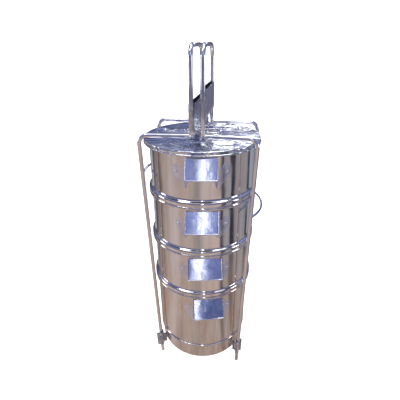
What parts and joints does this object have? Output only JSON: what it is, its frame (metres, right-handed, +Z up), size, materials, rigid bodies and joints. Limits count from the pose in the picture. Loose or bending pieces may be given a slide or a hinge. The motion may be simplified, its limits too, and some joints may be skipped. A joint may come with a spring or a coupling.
{
  "type": "tiffin carrier",
  "caption": "Tall steel lunch carrier: nested round pots with riveted finger handles and a flat lid, held in a base cup by hinged wire bails that form a tall carrying handle.",
  "frame": {"origin": "on the pots' axis, at floor level under the feet", "axes": "+Z up; -Y is the front, towards the front finger handles; +X to the right seen from the front, through the right bail"},
  "size_m": [0.2438, 0.2574, 0.6977],
  "materials": {
    "polished_sheet": "mirror-polished stainless sheet",
    "polished_wire": "polished stainless wire",
    "rivets": "plain bright rivets and pins",
    "bracket_steel": "plain folded sheet"
  },
  "bodies": {
    "base": {"base_cup": "polished_sheet", "foot_left_front": "polished_wire", "foot_left_back": "polished_wire", "foot_right_front": "polished_wire", "foot_right_back": "polished_wire", "bracket_left_front": "bracket_steel", "bracket_left_back": "bracket_steel", "bracket_right_front": "bracket_steel", "bracket_right_back": "bracket_steel", "hinge_pins": "rivets"},
    "right_bail": {"rod_right_front": "polished_wire", "bar_right_front": "polished_wire", "leg_right_front": "polished_wire", "rod_right_back": "polished_wire", "bar_right_back": "polished_wire", "leg_right_back": "polished_wire", "loop_right": "polished_wire", "rung_right": "polished_wire", "stop_front": "bracket_steel", "stop_back": "bracket_steel"},
    "left_bail": {"rod_left_front": "polished_wire", "bar_left_front": "polished_wire", "leg_left_front": "polished_wire", "rod_left_back": "polished_wire", "bar_left_back": "polished_wire", "leg_left_back": "polished_wire", "loop_left": "polished_wire", "rung_left": "polished_wire"},
    "left_sleeve": {"sleeve_left": "bracket_steel"},
    "right_sleeve": {"sleeve_right": "bracket_steel"},
    "pot_4_body": {"pot_4": "polished_sheet", "handle_4_front": "polished_sheet", "handle_4_back": "polished_sheet", "rivets_4": "rivets"},
    "pot_3_body": {"pot_3": "polished_sheet", "handle_3_front": "polished_sheet", "handle_3_back": "polished_sheet", "rivets_3": "rivets"},
    "pot_2_body": {"pot_2": "polished_sheet", "handle_2_front": "polished_sheet", "handle_2_back": "polished_sheet", "rivets_2": "rivets"},
    "pot_1_body": {"pot_1": "polished_sheet", "handle_1_front": "polished_sheet", "handle_1_back": "polished_sheet", "rivets_1": "rivets"},
    "lid": {"lid_plate": "polished_sheet", "lid_collar": "polished_sheet", "lid_saddle": "bracket_steel", "lid_rivets": "rivets"},
    "pull": {"lid_pull": "polished_wire"}
  },
  "joints": [
    {"name": "right_bail_swing", "type": "hinge", "parent": "base", "child": "right_bail", "pos_m": [0.09361, 0, 0.06], "axis": [0, 1, 0], "range_deg": [0, 95]},
    {"name": "left_bail_swing", "type": "hinge", "parent": "base", "child": "left_bail", "pos_m": [-0.09361, 0, 0.06], "axis": [0, -1, 0], "range_deg": [0, 95]},
    {"name": "right_sleeve_slide", "type": "slide", "parent": "right_bail", "child": "right_sleeve", "axis": [0, 0, 1], "range_m": [-0.022, 0.045]},
    {"name": "left_sleeve_slide", "type": "slide", "parent": "left_bail", "child": "left_sleeve", "axis": [0, 0, 1], "range_m": [0, 0.068]},
    {"name": "pot_4_lift", "type": "slide", "parent": "base", "child": "pot_4_body", "axis": [0, 0, 1], "range_m": [0, 0.046]},
    {"name": "pot_3_lift", "type": "slide", "parent": "pot_4_body", "child": "pot_3_body", "axis": [0, 0, 1], "range_m": [0, 0.016]},
    {"name": "pot_2_lift", "type": "slide", "parent": "pot_3_body", "child": "pot_2_body", "axis": [0, 0, 1], "range_m": [0, 0.016]},
    {"name": "pot_1_lift", "type": "slide", "parent": "pot_2_body", "child": "pot_1_body", "axis": [0, 0, 1], "range_m": [0, 0.016]},
    {"name": "lid_lift", "type": "slide", "parent": "pot_1_body", "child": "lid", "axis": [0, 0, 1], "range_m": [0, 0.016]},
    {"name": "pull_swing", "type": "hinge", "parent": "lid", "child": "pull", "pos_m": [0, -0.0145, 0.5452], "axis": [1, 0, 0], "range_deg": [0, 100]}
  ],
  "couplings": [
    {"joint": "left_bail_swing", "follows": "right_bail_swing", "ratio": 1},
    {"joint": "pot_4_lift", "follows": "right_bail_swing", "m_per_rad": 0.0275},
    {"joint": "pot_3_lift", "follows": "right_bail_swing", "m_per_rad": 0.0095},
    {"joint": "pot_2_lift", "follows": "right_bail_swing", "m_per_rad": 0.0095},
    {"joint": "pot_1_lift", "follows": "right_bail_swing", "m_per_rad": 0.0095},
    {"joint": "lid_lift", "follows": "right_bail_swing", "m_per_rad": 0.0095},
    {"joint": "pull_swing", "follows": "right_bail_swing", "ratio": 1}
  ]
}
